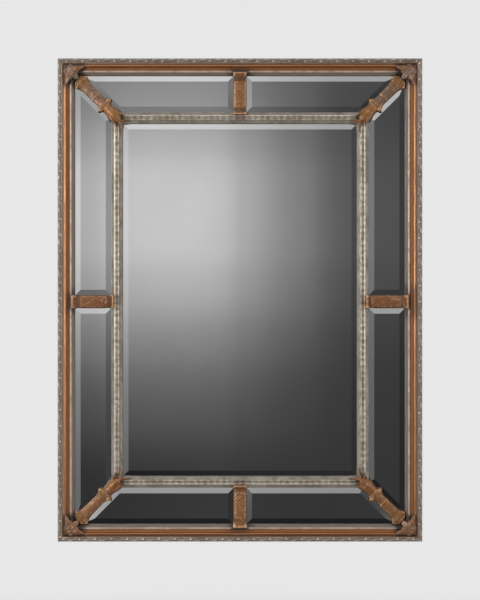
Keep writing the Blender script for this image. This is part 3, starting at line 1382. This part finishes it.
@dataclass(frozen=True)
class GildedRail:
    """Outer rail: reddish fillet, copper leaf roll, brown glazed cove and grey lip, with a raw wood back."""

    layout: Layout
    name: str = "gilded_rail"
    roll: tuple = colour(204, 146, 102)
    roll_shade: tuple = colour(164, 104, 62)
    fillet: tuple = colour(178, 134, 102)
    quirk: tuple = colour(92, 52, 24)
    cove: tuple = colour(143, 91, 42)
    cove_shade: tuple = colour(123, 72, 32)
    seat: tuple = colour(150, 118, 98)
    lip: tuple = colour(120, 110, 99)
    lip_shade: tuple = colour(98, 88, 78)
    raw: tuple = colour(150, 116, 80)
    bole: tuple = colour(112, 56, 32)
    patina: tuple = colour(30, 22, 18)
    corner_dirt: DirtFade = DirtFade(reach=0.072, fade=0.020, strength=0.85)
    joint_dirt: DirtFade = DirtFade(reach=0.029, fade=0.026, strength=0.8)
    roll_dirt: float = 0.25
    streak_fineness: float = 900.0
    streak_coarseness: float = 14.0
    roll_middle: float = 0.0204
    roll_halves: tuple[float, float] = (0.0028, 0.0034)
    fillet_insets: tuple[float, float] = (0.0152, 0.0146)
    cove_insets: tuple[float, float] = (0.022, 0.034)
    open_insets: tuple[float, float] = (0.0125, 0.0140)
    back_depths: tuple[float, float] = (-0.0006, -0.0002)

    def bands(self, graph: Graph, inset: Socket) -> Socket:
        """The rail's colours by inset, from a table of the insets in metres where each one is reached."""
        width = self.layout.outer_rail
        table = (
            (0.0, self.seat), (0.0124, self.seat), (0.0128, self.fillet), (0.0142, self.fillet),
            (0.0166, self.quirk), (0.0174, self.quirk), (0.0182, self.roll), (0.0223, self.roll),
            (0.0233, self.roll_shade), (0.0237, self.cove_shade), (0.0252, self.cove),
            (0.0296, self.cove), (0.0309, self.cove_shade), (0.0369, self.lip_shade),
            (0.0382, self.lip), (0.0432, self.lip))
        stops = [(reached / width, tint) for reached, tint in table]
        return graph.ramp(graph.maths("DIVIDE", inset, width), stops)

    def material(self) -> bpy.types.Material:
        """Bands by inset, streaked along the rail, worn in places and dark near the castings."""
        graph = Graph(self.name)
        place = MouldingPlace(self.layout)
        inset, run = place.sockets(graph)
        _, depth, _ = graph.place()
        streak_place = graph.node("ShaderNodeCombineXYZ")
        graph.feed(streak_place.inputs[0], graph.maths("MULTIPLY", inset, self.streak_fineness))
        graph.feed(streak_place.inputs[1], graph.maths("MULTIPLY", run, self.streak_coarseness))
        streak = graph.noise(1.0, detail=5.0, rough=0.6, place=streak_place.outputs[0])
        bands = self.bands(graph, inset)
        shade = graph.mixed(graph.spread(streak, 0.42, 0.72, 0.0, 0.45), bands, self.cove_shade, "MULTIPLY")
        worn = graph.spread(graph.noise(60.0, detail=6.0, rough=0.7), 0.66, 0.76, 0.0, 0.6)
        toned = graph.mixed(worn, shade, self.bole)
        cloud = graph.noise(26.0, detail=5.0, rough=0.65)
        by_corner, by_joint = place.dirt(graph, cloud, self.corner_dirt, self.joint_dirt)
        in_cove = graph.spread(inset, *self.cove_insets, self.roll_dirt, 1.0)
        by_joint = graph.maths("MULTIPLY", by_joint, in_cove)
        dirt = graph.maths("MAXIMUM", by_corner, by_joint)
        dirt = graph.maths("MULTIPLY", dirt, graph.spread(inset, *self.open_insets))
        toned = graph.mixed(dirt, toned, self.patina)
        behind = graph.spread(depth, *self.back_depths)
        grain = graph.noise(1.0, detail=4.0, rough=0.6, place=graph.stretched(40.0, 200.0, 300.0))
        raw = graph.mixed(grain, self.raw, graph.mixed(0.7, self.raw, self.quirk, "MULTIPLY"))
        graph.set(base_color=graph.mixed(behind, toned, raw))
        from_roll = graph.maths("ABSOLUTE", graph.maths("SUBTRACT", inset, self.roll_middle))
        rolled = graph.spread(from_roll, *self.roll_halves, 1.0, 0.0)
        on_fillet = graph.spread(inset, *self.fillet_insets, 0.0, 0.6)
        lustre = graph.maths("MAXIMUM", graph.spread(rolled, 0.0, 1.0, 0.12, 0.95), on_fillet)
        leafed = graph.maths("MULTIPLY", graph.maths("SUBTRACT", 1.0, behind), lustre)
        graph.set(metallic=graph.maths("MULTIPLY", leafed, graph.maths("SUBTRACT", 1.0, dirt)))
        polish = graph.spread(rolled, 0.0, 1.0, 0.16, 0.0)
        graph.set(roughness=graph.maths("ADD", polish, graph.spread(streak, 0.2, 0.8, 0.26, 0.38)))
        grain = graph.maths("ADD", streak, graph.noise(400.0, detail=3.0))
        graph.bump(grain, distance=0.00010, strength=0.5)
        return graph.material


@dataclass(frozen=True)
class SilverSlip:
    """The slip and the inner rail: warm silver leaf, darker along the edges, with lap lines."""

    layout: Layout
    name: str
    light: tuple
    dark: tuple
    wax: tuple
    metallic: float = 0.35
    corner_dirt: DirtFade = DirtFade(reach=0.0, fade=0.014, strength=0.9)
    joint_dirt: DirtFade = DirtFade(reach=0.0, fade=0.014, strength=0.85)
    dirt: tuple = colour(52, 40, 32)
    dirt_limit: float = 1.0
    limit_fade: float = 0.002
    lap_pitch: float = 0.085
    lap_share: float = 0.012

    def material(self) -> bpy.types.Material:
        """Silver mottled by dark wax, with a faint line wherever two leaves lap."""
        graph = Graph(self.name)
        place = MouldingPlace(self.layout)
        inset, run = place.sockets(graph)
        cloud = graph.noise(35.0, detail=5.0, rough=0.6)
        base = graph.mixed(graph.spread(cloud, 0.38, 0.66), self.light, self.dark)
        frayed = graph.noise(40.0, detail=4.0)
        by_corner, by_joint = place.dirt(graph, frayed, self.corner_dirt, self.joint_dirt)
        near_casting = graph.spread(inset, self.dirt_limit, self.dirt_limit + self.limit_fade, 1.0, 0.0)
        dirt = graph.maths("MULTIPLY", graph.maths("MAXIMUM", by_corner, by_joint), near_casting)
        base = graph.mixed(dirt, base, self.dirt)
        speck = graph.spread(graph.noise(260.0, detail=4.0, rough=0.7), 0.58, 0.70, 0.0, 0.75)
        base = graph.mixed(speck, base, self.wax)
        cycle = graph.maths("FRACT", graph.maths("DIVIDE", run, self.lap_pitch))
        lap = graph.maths("LESS_THAN", cycle, self.lap_share)
        base = graph.mixed(graph.maths("MULTIPLY", lap, 0.4), base, self.wax)
        graph.set(base_color=base, metallic=self.metallic)
        graph.set(roughness=graph.spread(cloud, 0.3, 0.7, 0.38, 0.52))
        graph.bump(graph.noise(320.0, detail=4.0), distance=0.0001, strength=0.5)
        return graph.material


@dataclass(frozen=True)
class WaxedCarving:
    """A carving in leaf with dark wax left in its hollows and its crests rubbed bright."""

    name: str
    crest: tuple
    middle: tuple
    hollow: tuple
    tint: tuple
    metallic: float = 0.6
    polish: float = 0.34
    layout: Layout = Layout()
    corner_dirt: DirtFade = DirtFade(reach=-0.02, fade=0.024, strength=0.9)
    joint_dirt: DirtFade = DirtFade(reach=-0.02, fade=0.030, strength=0.55)
    dirt: tuple = colour(146, 122, 108)

    def material(self) -> bpy.types.Material:
        """Colours by the carving's relief, broken up by noise and darker beside the castings."""
        graph = Graph(self.name)
        relief = graph.attribute("relief")
        cloud = graph.noise(150.0, detail=6.0, rough=0.66)
        height = graph.stirred(relief, cloud, 0.9)
        base = graph.ramp(height, (
            (0.06, self.hollow), (0.30, self.middle), (0.58, self.middle), (0.84, self.crest)))
        tint = graph.spread(graph.noise(22.0, detail=3.0), 0.45, 0.66, 0.0, 0.55)
        base = graph.mixed(tint, base, graph.mixed(1.0, base, self.tint, "MULTIPLY"))
        frayed = graph.noise(60.0, detail=4.0)
        shares = MouldingPlace(self.layout).dirt(graph, frayed, self.corner_dirt, self.joint_dirt)
        dirt = graph.maths("MAXIMUM", *shares)
        base = graph.mixed(dirt, base, graph.mixed(1.0, base, self.dirt, "MULTIPLY"))
        graph.set(base_color=base)
        graph.set(metallic=graph.spread(height, 0.1, 0.6, 0.2, self.metallic))
        graph.set(roughness=graph.spread(height, 0.1, 0.8, 0.62, self.polish))
        graph.bump(graph.noise(500.0, detail=3.0), distance=0.00008, strength=0.5)
        return graph.material


@dataclass(frozen=True)
class AgedBronze:
    """The castings' finish: brown bronze and a grey mauve tone by the mesh's tone, bright on the crests."""

    name: str = "aged_bronze"
    crest: tuple = colour(206, 162, 120)
    brown: tuple = colour(148, 102, 61)
    mauve: tuple = colour(120, 98, 80)
    hollow: tuple = colour(44, 31, 23)
    violet: tuple = colour(92, 70, 60)
    ochre: tuple = colour(142, 98, 46)
    russet: tuple = colour(142, 84, 58)
    pale: tuple = colour(174, 142, 122)

    def material(self) -> bpy.types.Material:
        """Colours by relief and tone, mottled with ochre, violet, russet and pale patches."""
        graph = Graph(self.name)
        relief = graph.attribute("relief")
        tone = graph.attribute("tone")
        cloud = graph.noise(150.0, detail=6.0, rough=0.66)
        height = graph.stirred(relief, cloud, 0.75)
        _, _, up = graph.place()
        greyed = graph.maths("MULTIPLY", tone, graph.spread(up, -0.35, 0.35, 0.3, 1.0))
        body = graph.mixed(greyed, self.brown, self.mauve)
        ochre = graph.spread(graph.noise(85.0, detail=4.0, rough=0.6), 0.46, 0.62, 0.0, 0.65)
        ochre = graph.maths("MULTIPLY", ochre, graph.maths("SUBTRACT", 1.0, greyed))
        body = graph.mixed(ochre, body, self.ochre)
        patches = (
            (self.violet, 48.0, 0.56, 0.70, 0.55), (self.russet, 66.0, 0.48, 0.64, 0.5),
            (self.pale, 118.0, 0.52, 0.66, 0.7))
        for tint, fineness, start, stop, strength in patches:
            cloud = graph.noise(fineness, detail=4.0, rough=0.6)
            body = graph.mixed(graph.spread(cloud, start, stop, 0.0, strength), body, tint)
        low = graph.spread(height, 0.08, 0.42)
        high = graph.spread(height, 0.64, 0.95, 0.0, 0.9)
        base = graph.mixed(high, graph.mixed(low, self.hollow, body), self.crest)
        graph.set(base_color=base)
        graph.set(metallic=graph.spread(height, 0.1, 0.6, 0.15, 0.55))
        graph.set(roughness=graph.spread(height, 0.1, 0.9, 0.58, 0.34))
        graph.bump(graph.noise(420.0, detail=4.0), distance=0.00012, strength=0.6)
        return graph.material


@dataclass(frozen=True)
class MirrorGlass:
    """Silvered glass: a clean mirror with the faintest clouding and wiping marks."""

    name: str = "mirror_glass"
    silver: tuple = (0.95, 0.95, 0.95)
    cloud: tuple = (0.91, 0.91, 0.915)

    def material(self) -> bpy.types.Material:
        """A polished metal whose tint and polish drift slightly."""
        graph = Graph(self.name)
        cloud = graph.spread(graph.noise(5.0, detail=5.0, rough=0.6), 0.4, 0.75)
        graph.set(base_color=graph.mixed(cloud, self.silver, self.cloud), metallic=1.0)
        graph.set(roughness=graph.spread(graph.noise(14.0, detail=6.0, rough=0.65), 0.35, 0.8, 0.006, 0.022))
        return graph.material


@dataclass(frozen=True)
class Fibreboard:
    """Brown hardboard with pressed fibres."""

    name: str = "fibreboard"
    light: tuple = colour(172, 138, 98)
    dark: tuple = colour(118, 86, 56)

    def material(self) -> bpy.types.Material:
        """Short fibres in two directions over a soft mottle."""
        graph = Graph(self.name)
        long_fibre = graph.noise(1.0, detail=4.0, rough=0.65, place=graph.stretched(700.0, 300.0, 90.0))
        cross_fibre = graph.noise(1.0, detail=4.0, rough=0.65, place=graph.stretched(90.0, 300.0, 700.0))
        fibre = graph.maths("MAXIMUM", long_fibre, cross_fibre)
        mottle = graph.noise(8.0, detail=3.0)
        share = graph.maths("ADD", graph.maths("MULTIPLY", fibre, 0.7), graph.maths("MULTIPLY", mottle, 0.4))
        graph.set(base_color=graph.mixed(graph.spread(share, 0.42, 0.78), self.dark, self.light))
        graph.set(roughness=graph.spread(fibre, 0.3, 0.8, 0.62, 0.82))
        graph.bump(fibre, distance=0.00015, strength=0.6)
        return graph.material


@dataclass(frozen=True)
class PlatedSteel:
    """Plated steel with fine scratches and dulled patches."""

    name: str
    bright: tuple
    dull: tuple
    polish: float = 0.28

    def material(self) -> bpy.types.Material:
        """Metal tinted and roughened by two noises."""
        graph = Graph(self.name)
        patch = graph.noise(120.0, detail=4.0)
        scratch = graph.noise(1.0, detail=3.0, rough=0.6, place=graph.stretched(1800.0, 1800.0, 160.0))
        tint = graph.mixed(graph.spread(patch, 0.35, 0.7), self.bright, self.dull)
        graph.set(base_color=tint, metallic=1.0)
        graph.set(roughness=graph.spread(scratch, 0.2, 0.8, self.polish, self.polish + 0.2))
        graph.bump(scratch, distance=0.00003, strength=0.4)
        return graph.material


@dataclass(frozen=True)
class Felt:
    """Dense wool felt."""

    name: str = "pad_felt"
    light: tuple = colour(104, 100, 96)
    dark: tuple = colour(58, 56, 54)

    def material(self) -> bpy.types.Material:
        """Fine fuzz, matt, with a little sheen."""
        graph = Graph(self.name)
        fuzz = graph.noise(900.0, detail=5.0, rough=0.7)
        graph.set(base_color=graph.mixed(fuzz, self.dark, self.light), roughness=0.95, sheen_weight=0.3)
        graph.bump(fuzz, distance=0.0004, strength=0.8)
        return graph.material


@dataclass
class PlainParts:
    """The pieces whose CAD shape is the finished one: rails, slips, panes, board and hardware."""

    layout: Layout

    def build(self) -> None:
        """Dress every one of these nodes."""
        rail = GildedRail(self.layout).material()
        left_rail = GildedRail(
            self.layout, "left_gilded_rail", roll=colour(208, 154, 114), roll_shade=colour(170, 112, 72),
            fillet=colour(244, 200, 168), quirk=colour(142, 88, 52))
        right_rail = replace(
            left_rail, name="right_gilded_rail", quirk=colour(136, 84, 52), patina=colour(62, 32, 20),
            joint_dirt=DirtFade(reach=0.040, fade=0.026, strength=0.8), roll_dirt=0.65)
        rails = {Side.LEFT: left_rail.material(), Side.RIGHT: right_rail.material()}
        slip = SilverSlip(
            self.layout, "silver_slip", light=colour(206, 184, 166), dark=colour(176, 152, 132),
            wax=colour(104, 82, 64), metallic=0.5,
            corner_dirt=DirtFade(reach=0.072, fade=0.014, strength=0.9),
            joint_dirt=DirtFade(reach=0.026, fade=0.014, strength=0.85)).material()
        inner = SilverSlip(
            self.layout, "silvered_rail", light=colour(150, 142, 130), dark=colour(122, 114, 103),
            wax=colour(72, 62, 52), metallic=0.25, dirt=colour(98, 60, 36), dirt_limit=0.1455,
            joint_dirt=DirtFade(reach=0.022, fade=0.014, strength=0.85)).material()
        glass = MirrorGlass().material()
        zinc = PlatedSteel("zinc_screw", colour(200, 200, 192), colour(160, 160, 150)).material()
        nickel = PlatedSteel("hanger_steel", colour(214, 208, 198), colour(180, 172, 160), 0.2).material()
        for side in Side:
            dressed(f"outer_rail_{side.label}", rails.get(side, rail))
            dressed(f"silver_slip_{side.label}", slip)
            dressed(f"inner_rail_{side.label}", inner)
        panes = [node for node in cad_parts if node.startswith("border_pane")]
        for node in sorted(panes) + ["centre_pane"]:
            dressed(node, glass)
        dressed("backing_board", Fibreboard().material())
        for node in ("board_screws", "inner_rail_screws", "strap_screws", "mitre_v_nails"):
            dressed(node, zinc)
        hangers = [f"hanger_{part}_{side}" for part in ("plate", "ring") for side in ("left", "right")]
        for node in ["hanger_screws", *hangers]:
            dressed(node, nickel)
        dressed("wall_pads", Felt().material())


@dataclass
class Studio:
    """Camera, floor, lamps and the surroundings that the panes reflect."""

    lens: float = 100.0
    sensor: float = 36.0
    frame_height: float = 1.5438
    outline_depth: float = 0.028
    floor_drop: float = 1.5
    floor_radius: float = 4.6
    floor_clear: float = 1.8
    floor_rim: float = 0.1
    floor_places: int = 96
    pale: tuple = (0.80, 0.80, 0.80)
    floor_colour: tuple = (0.78, 0.78, 0.78)
    soft_level: float = 0.59
    lamp_places: tuple = (
        ("left_lamp", (-2.2, -2.5, 0.40), (0.4, 1.3), 38.0),
        ("right_lamp", (3.0, -1.7, 0.20), (0.7, 2.2), 20.0),
        ("top_lamp", (0.0, -2.4, 2.5), (2.4, 0.6), 6.0),
    )
    least_level: float = 0.0145
    front_depths: tuple[float, float] = (-0.35, 0.05)
    # Levels by the direction's own X or Z, then spots with their X, Z, reach and gain.
    across_shares: tuple = (
        (-0.50, 0.60), (-0.42, 0.66), (-0.385, 0.90), (-0.32, 0.77), (-0.25, 0.13), (-0.17, 0.30),
        (-0.09, 0.76), (-0.04, 1.0), (0.0, 0.72), (0.04, 0.33), (0.09, 0.115), (0.16, 0.18), (0.24, 0.52),
        (0.30, 0.58), (0.34, 0.34), (0.37, 0.07), (0.44, 0.02), (0.50, 0.02))
    up_shares: tuple = (
        (-0.50, 0.0), (-0.38, 0.0), (-0.345, 0.02), (-0.30, 0.17), (-0.20, 0.19), (-0.125, 0.022),
        (-0.07, 0.082), (-0.028, 0.22), (0.014, 0.46), (0.056, 0.58), (0.09, 0.46), (0.125, 0.25),
        (0.21, 0.05), (0.32, 0.30), (0.43, 0.31), (0.50, 0.15))
    up_lift_shares: tuple = (
        (-0.50, 0.03), (-0.455, 0.0135), (-0.428, 0.0145), (-0.412, 0.0235), (-0.30, 0.0235),
        (-0.10, 0.020), (0.0, 0.024), (0.125, 0.040), (0.21, 0.30), (0.32, 0.33), (0.43, 0.33),
        (0.46, 0.34), (0.50, 0.52))
    side_lift_shares: tuple = (
        (-0.50, 0.30), (-0.46, 0.12), (-0.38, 0.10), (-0.32, 0.05), (-0.25, 0.10), (-0.12, 0.0), (0.0, 0.0),
        (0.335, 0.0), (0.366, 0.006), (0.40, 0.0), (0.455, 0.0), (0.50, 0.20))
    spot_shares: tuple = (
        (0.290, 0.086, 0.045, -0.25), (-0.127, -0.336, 0.05, -0.12), (-0.300, -0.070, 0.065, 0.16),
        (-0.302, 0.112, 0.08, 0.13), (0.09, -0.11, 0.13, 0.017), (0.225, -0.11, 0.08, 0.018))

    def camera(self) -> None:
        """A long lens straight in front, as far off as makes the view as high as the photograph's."""
        lens = bpy.data.cameras.new("view")
        lens.lens = self.lens
        lens.sensor_width = self.sensor
        distance = self.frame_height * self.lens / self.sensor
        eye = bpy.data.objects.new("view", lens)
        eye.location = (0, -(distance + self.outline_depth), 0)
        eye.rotation_euler = (math.pi / 2, 0, 0)
        bpy.context.scene.collection.objects.link(eye)
        bpy.context.scene.camera = eye

    def lamps(self) -> None:
        """Tall soft lamps at the sides and a wide one above, turned towards the mirror."""
        for name, place, size, power in self.lamp_places:
            light = bpy.data.lights.new(name, "AREA")
            light.shape = "RECTANGLE"
            light.size, light.size_y = size
            light.energy = power
            lamp = bpy.data.objects.new(name, light)
            lamp.location = place
            lamp.rotation_euler = (-Vector(place)).to_track_quat("-Z", "Y").to_euler()
            bpy.context.scene.collection.objects.link(lamp)

    def floor(self) -> None:
        """A pale disc below the mirror that fades into the background at its rim."""
        angle = np.linspace(0, FULL_TURN, self.floor_places, endpoint=False)
        rim = np.stack([np.cos(angle), np.sin(angle), np.zeros_like(angle)], axis=-1) * self.floor_radius
        rim[:, 2] = -self.floor_drop
        mesh = bpy.data.meshes.new("floor")
        mesh.from_pydata(rim.tolist(), [], [list(range(self.floor_places))])
        floor = bpy.data.objects.new("floor", mesh)
        bpy.context.scene.collection.objects.link(floor)
        graph = Graph("floor")
        x, y, _ = graph.place()
        graph.set(base_color=self.floor_colour, roughness=0.9)
        rim_start = self.floor_radius - self.floor_rim
        graph.set(alpha=graph.spread(graph.length(x, y), self.floor_clear, rim_start, 1.0, 0.0))
        mesh.materials.append(graph.material)
        floor.visible_glossy = False

    def surroundings(self) -> None:
        """A pale background for the camera, soft even light, and a studio's falloff for gloss to reflect.

        The falloff is the across curve times the up curve, plus a lift from above, a lift from the sides and
        some soft spots, each read at the direction's own X and Z. It covers the front half, and the back
        half is even.
        """
        world = bpy.data.worlds.new("studio")
        bpy.context.scene.world = world
        world.use_nodes = True
        graph = Graph("studio_nodes")
        bpy.data.materials.remove(graph.material)
        graph.tree = world.node_tree
        background = world.node_tree.nodes["Background"]
        split = graph.node("ShaderNodeSeparateXYZ")
        graph.feed(split.inputs[0], graph.node("ShaderNodeTexCoord").outputs["Generated"])

        def curve(value: Socket, shares: Sequence[tuple[float, float]]) -> Socket:
            """A smooth curve through stops given for half a unit to each side of straight ahead."""
            half = 0.5
            shifted = [(place + half, level) for place, level in shares]
            return graph.curve(graph.maths("ADD", value, half, clamp=True), shifted)

        across = curve(split.outputs[0], self.across_shares)
        up = curve(split.outputs[2], self.up_shares)
        falloff = graph.maths("MULTIPLY", across, up)
        falloff = graph.maths("ADD", falloff, curve(split.outputs[2], self.up_lift_shares))
        falloff = graph.maths("ADD", falloff, curve(split.outputs[0], self.side_lift_shares))
        for spot_across, spot_up, reach, gain in self.spot_shares:
            aside = graph.maths("SUBTRACT", split.outputs[0], spot_across)
            above = graph.maths("SUBTRACT", split.outputs[2], spot_up)
            spot = graph.spread(graph.length(aside, above), 0.0, reach, gain, 0.0)
            falloff = graph.maths("ADD", falloff, spot)
        falloff = graph.maths("MAXIMUM", falloff, self.least_level)
        front = graph.spread(split.outputs[1], *self.front_depths)
        reflected = graph.mixed(front, falloff, (self.soft_level,) * 3)
        rays = graph.node("ShaderNodeLightPath")
        lit = graph.mixed(rays.outputs["Is Glossy Ray"], (self.soft_level,) * 3, reflected)
        seen = graph.mixed(rays.outputs["Is Camera Ray"], lit, self.pale)
        graph.feed(background.inputs["Color"], seen)

    def build(self) -> None:
        """Set up the whole studio."""
        self.camera()
        self.lamps()
        self.floor()
        self.surroundings()
        bpy.context.scene.view_settings.view_transform = "Standard"
        LOG.info("studio: %d lamps", len(self.lamp_places))


def main() -> None:
    """Build every sub-assembly in order."""
    logging.basicConfig(level=logging.INFO, format="%(name)s: %(message)s")
    layout = Layout()
    bronze = AgedBronze().material()
    dark_bronze = AgedBronze(
        "dark_bronze", crest=colour(200, 160, 128), brown=colour(138, 101, 72), mauve=colour(128, 109, 97),
        hollow=colour(34, 28, 26), violet=colour(84, 72, 69), ochre=colour(142, 102, 58)).material()
    side_bronze = AgedBronze(
        "side_bronze", crest=colour(204, 158, 114), brown=colour(131, 87, 50), mauve=colour(122, 98, 80),
        hollow=colour(40, 27, 18), violet=colour(84, 60, 48), ochre=colour(126, 84, 36)).material()
    edge_wax = WaxedCarving(
        "waxed_leaf_edge", crest=colour(224, 208, 192), middle=colour(140, 128, 118),
        hollow=colour(76, 68, 62), tint=colour(206, 200, 190), metallic=0.5)
    band_wax = WaxedCarving(
        "waxed_leaf_band", crest=colour(226, 216, 202), middle=colour(164, 153, 139),
        hollow=colour(98, 86, 73), tint=colour(206, 196, 176), metallic=0.6,
        corner_dirt=DirtFade(reach=0.176, fade=0.024, strength=0.9),
        joint_dirt=DirtFade(reach=0.014, fade=0.030, strength=0.55))
    Studio().build()
    PlainParts(layout).build()
    LeafEdge(
        layout, edge_wax.material(), "leaf_edge", "leaf_edge", step=0.00085, low=-0.0006,
        high=0.0010).build()
    LeafBand(
        layout, band_wax.material(), "inner_leaf_band", "inner_leaf_band", step=0.0010, low=-0.0009,
        high=0.0008).build()
    CrossStraps(layout, bronze, side_bronze).build()
    CornerStraps(layout, bronze).build()
    CornerLeaves(layout, dark_bronze).build()


if __name__ == "__main__":
    main()
